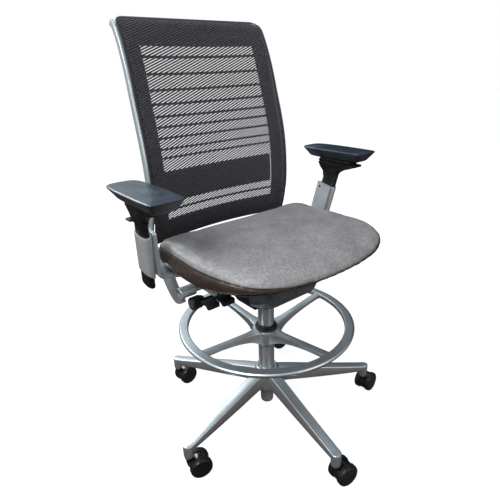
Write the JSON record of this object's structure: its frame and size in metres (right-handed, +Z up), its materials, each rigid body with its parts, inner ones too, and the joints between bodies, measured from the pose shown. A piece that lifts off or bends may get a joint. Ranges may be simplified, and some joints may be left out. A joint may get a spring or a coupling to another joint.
{
  "type": "drafting chair",
  "caption": "Tall swivel chair with a knit back, leather seat, adjustable arms, foot ring and a five-legged base on twin-wheel casters.",
  "frame": {"origin": "on the floor, under the middle of the whole chair", "axes": "+Z up; the chair faces -Y, so the sitter's right hand is on the -X side"},
  "size_m": [0.684, 0.6099, 1.0272],
  "materials": {
    "polished_aluminium": "polished casting",
    "silver_paint": "satin silver paint",
    "column_paint": "satin grey paint",
    "rod_steel": "ground and plated",
    "cover_plastic": "moulded grey, semi-gloss",
    "black_plastic": "moulded, fine texture",
    "gloss_black": "moulded, gloss",
    "pad_skin": "soft satin polyurethane skin",
    "seat_leather": "grained taupe leather, piped and stitched",
    "knit": "black diagonal knit, see-through"
  },
  "bodies": {
    "base": {"base_star": "polished_aluminium", "column_tube": "column_paint", "column_bush": "black_plastic"},
    "collar": {"footring_collar": "black_plastic"},
    "ring": {"footring": "polished_aluminium"},
    "piston": {"piston_rod": "rod_steel"},
    "mechanism": {"mechanism_housing": "black_plastic", "mechanism_front_cover": "cover_plastic", "arm_bracket_left": "silver_paint", "arm_bracket_right": "silver_paint"},
    "dial": {"recline_dial": "black_plastic"},
    "height_handle": {"height_lever": "black_plastic"},
    "depth_handle": {"seat_depth_lever": "black_plastic"},
    "back": {"back_upright_left": "silver_paint", "back_upright_right": "silver_paint", "back_pivot_shaft": "polished_aluminium", "back_mesh": "knit", "back_top_rail": "black_plastic", "back_bottom_rail": "black_plastic", "back_carrier_left": "black_plastic", "back_carrier_right": "black_plastic", "flexor_01": "black_plastic", "flexor_02": "black_plastic", "flexor_03": "black_plastic", "flexor_04": "black_plastic", "flexor_05": "black_plastic", "flexor_06": "black_plastic", "flexor_07": "black_plastic", "flexor_08": "black_plastic", "flexor_09": "black_plastic", "flexor_10": "black_plastic", "flexor_11": "black_plastic"},
    "lumbar": {"lumbar_pad": "black_plastic"},
    "seat_carrier": {"seat_pan": "black_plastic"},
    "seat": {"seat_cushion": "seat_leather", "seat_rail_left": "silver_paint", "seat_rail_right": "silver_paint"},
    "arm_left": {"arm_post_left": "black_plastic"},
    "arm_button_left": {"arm_trigger_left": "black_plastic"},
    "pad_plate_left": {"arm_slide_left": "black_plastic"},
    "pad_left": {"arm_pad_left": "pad_skin"},
    "arm_right": {"arm_post_right": "black_plastic"},
    "arm_button_right": {"arm_trigger_right": "black_plastic"},
    "pad_plate_right": {"arm_slide_right": "black_plastic"},
    "pad_right": {"arm_pad_right": "pad_skin"},
    "caster_1": {"caster_hood_1": "gloss_black"},
    "caster_2": {"caster_hood_2": "gloss_black"},
    "caster_3": {"caster_hood_3": "gloss_black"},
    "caster_4": {"caster_hood_4": "gloss_black"},
    "caster_5": {"caster_hood_5": "gloss_black"},
    "wheel_1a": {"caster_wheel_1a": "gloss_black"},
    "wheel_1b": {"caster_wheel_1b": "gloss_black"},
    "wheel_2a": {"caster_wheel_2a": "gloss_black"},
    "wheel_2b": {"caster_wheel_2b": "gloss_black"},
    "wheel_3a": {"caster_wheel_3a": "gloss_black"},
    "wheel_3b": {"caster_wheel_3b": "gloss_black"},
    "wheel_4a": {"caster_wheel_4a": "gloss_black"},
    "wheel_4b": {"caster_wheel_4b": "gloss_black"},
    "wheel_5a": {"caster_wheel_5a": "gloss_black"},
    "wheel_5b": {"caster_wheel_5b": "gloss_black"}
  },
  "joints": [
    {"name": "height", "type": "slide", "parent": "base", "child": "piston", "axis": [0, 0, 1], "range_m": [0, 0.2]},
    {"name": "chair_swivel", "type": "hinge", "parent": "piston", "child": "mechanism", "pos_m": [0, 0.01643, 0.4265], "axis": [0, 0, 1], "continuous": true},
    {"name": "back_recline", "type": "hinge", "parent": "mechanism", "child": "back", "pos_m": [0, 0.09843, 0.4165], "axis": [-1, 0, 0], "range_deg": [0, 20], "stiffness_Nm_per_rad": 45, "springref_deg": -20.05},
    {"name": "seat_glide", "type": "slide", "parent": "mechanism", "child": "seat_carrier", "axis": [0, -1, 0], "range_m": [0, 0.018]},
    {"name": "seat_depth", "type": "slide", "parent": "seat_carrier", "child": "seat", "axis": [0, -1, 0], "range_m": [0, 0.06]},
    {"name": "lumbar_height", "type": "slide", "parent": "back", "child": "lumbar", "axis": [0, 0, 1], "range_m": [-0.03, 0.04]},
    {"name": "footring_height", "type": "slide", "parent": "base", "child": "collar", "axis": [0, 0, 1], "range_m": [-0.07, 0.03]},
    {"name": "footring_turn", "type": "hinge", "parent": "collar", "child": "ring", "pos_m": [0, 0.01643, 0.2585], "axis": [0, 0, 1], "continuous": true},
    {"name": "arm_height_left", "type": "slide", "parent": "mechanism", "child": "arm_left", "axis": [0.0938, -0.2079, 0.9736], "range_m": [-0.015, 0.06]},
    {"name": "arm_button_press_left", "type": "slide", "parent": "arm_left", "child": "arm_button_left", "axis": [0, 0, 1], "range_m": [0, 0.004], "stiffness_N_per_m": 400, "springref_m": -0.001},
    {"name": "pad_slide_left", "type": "slide", "parent": "arm_left", "child": "pad_plate_left", "axis": [0, 1, 0], "range_m": [-0.025, 0.025]},
    {"name": "pad_swivel_left", "type": "hinge", "parent": "pad_plate_left", "child": "pad_left", "pos_m": [0.301, 0.05643, 0.6775], "axis": [0, 0, 1], "range_deg": [-12, 12]},
    {"name": "arm_height_right", "type": "slide", "parent": "mechanism", "child": "arm_right", "axis": [-0.0938, -0.2079, 0.9736], "range_m": [-0.015, 0.06]},
    {"name": "arm_button_press_right", "type": "slide", "parent": "arm_right", "child": "arm_button_right", "axis": [0, 0, 1], "range_m": [0, 0.004], "stiffness_N_per_m": 400, "springref_m": -0.001},
    {"name": "pad_slide_right", "type": "slide", "parent": "arm_right", "child": "pad_plate_right", "axis": [0, 1, 0], "range_m": [-0.025, 0.025]},
    {"name": "pad_swivel_right", "type": "hinge", "parent": "pad_plate_right", "child": "pad_right", "pos_m": [-0.301, 0.02443, 0.6775], "axis": [0, 0, 1], "range_deg": [-12, 12]},
    {"name": "dial_turn", "type": "hinge", "parent": "mechanism", "child": "dial", "pos_m": [-0.166, 0.08243, 0.3865], "axis": [1, 0, 0], "range_deg": [-150, 150]},
    {"name": "height_lift", "type": "hinge", "parent": "mechanism", "child": "height_handle", "pos_m": [-0.11, 0.04443, 0.4005], "axis": [-1, 0, 0], "range_deg": [0, 12], "stiffness_Nm_per_rad": 1, "springref_deg": -6.88},
    {"name": "depth_lift", "type": "hinge", "parent": "mechanism", "child": "depth_handle", "pos_m": [-0.105, -0.00757, 0.4325], "axis": [-1, 0, 0], "range_deg": [0, 12], "stiffness_Nm_per_rad": 1, "springref_deg": -6.88},
    {"name": "caster_swivel_1", "type": "hinge", "parent": "base", "child": "caster_1", "pos_m": [0.20729, 0.2259, 0.0605], "axis": [0, 0, 1], "continuous": true},
    {"name": "caster_swivel_2", "type": "hinge", "parent": "base", "child": "caster_2", "pos_m": [-0.13516, 0.27831, 0.0605], "axis": [0, 0, 1], "continuous": true},
    {"name": "caster_swivel_3", "type": "hinge", "parent": "base", "child": "caster_3", "pos_m": [-0.29083, -0.03119, 0.0605], "axis": [0, 0, 1], "continuous": true},
    {"name": "caster_swivel_4", "type": "hinge", "parent": "base", "child": "caster_4", "pos_m": [-0.04458, -0.27488, 0.0605], "axis": [0, 0, 1], "continuous": true},
    {"name": "caster_swivel_5", "type": "hinge", "parent": "base", "child": "caster_5", "pos_m": [0.26328, -0.11598, 0.0605], "axis": [0, 0, 1], "continuous": true},
    {"name": "wheel_roll_1a", "type": "hinge", "parent": "caster_1", "child": "wheel_1a", "pos_m": [0.23106, 0.22256, 0.028], "axis": [0.1392, 0.9903, 0], "continuous": true},
    {"name": "wheel_roll_1b", "type": "hinge", "parent": "caster_1", "child": "wheel_1b", "pos_m": [0.23106, 0.22256, 0.028], "axis": [0.1392, 0.9903, 0], "continuous": true},
    {"name": "wheel_roll_2a", "type": "hinge", "parent": "caster_2", "child": "wheel_2a", "pos_m": [-0.11122, 0.27998, 0.028], "axis": [-0.0698, 0.9976, 0], "continuous": true},
    {"name": "wheel_roll_2b", "type": "hinge", "parent": "caster_2", "child": "wheel_2b", "pos_m": [-0.11122, 0.27998, 0.028], "axis": [-0.0698, 0.9976, 0], "continuous": true},
    {"name": "wheel_roll_3a", "type": "hinge", "parent": "caster_3", "child": "wheel_3a", "pos_m": [-0.26754, -0.037, 0.028], "axis": [0.2419, 0.9703, 0], "continuous": true},
    {"name": "wheel_roll_3b", "type": "hinge", "parent": "caster_3", "child": "wheel_3b", "pos_m": [-0.26754, -0.037, 0.028], "axis": [0.2419, 0.9703, 0], "continuous": true},
    {"name": "wheel_roll_4a", "type": "hinge", "parent": "caster_4", "child": "wheel_4a", "pos_m": [-0.02081, -0.27822, 0.028], "axis": [0.1392, 0.9903, 0], "continuous": true},
    {"name": "wheel_roll_4b", "type": "hinge", "parent": "caster_4", "child": "wheel_4b", "pos_m": [-0.02081, -0.27822, 0.028], "axis": [0.1392, 0.9903, 0], "continuous": true},
    {"name": "wheel_roll_5a", "type": "hinge", "parent": "caster_5", "child": "wheel_5a", "pos_m": [0.28691, -0.11182, 0.028], "axis": [-0.1736, 0.9848, 0], "continuous": true},
    {"name": "wheel_roll_5b", "type": "hinge", "parent": "caster_5", "child": "wheel_5b", "pos_m": [0.28691, -0.11182, 0.028], "axis": [-0.1736, 0.9848, 0], "continuous": true}
  ],
  "couplings": [
    {"joint": "seat_glide", "follows": "back_recline", "m_per_rad": 0.05}
  ]
}
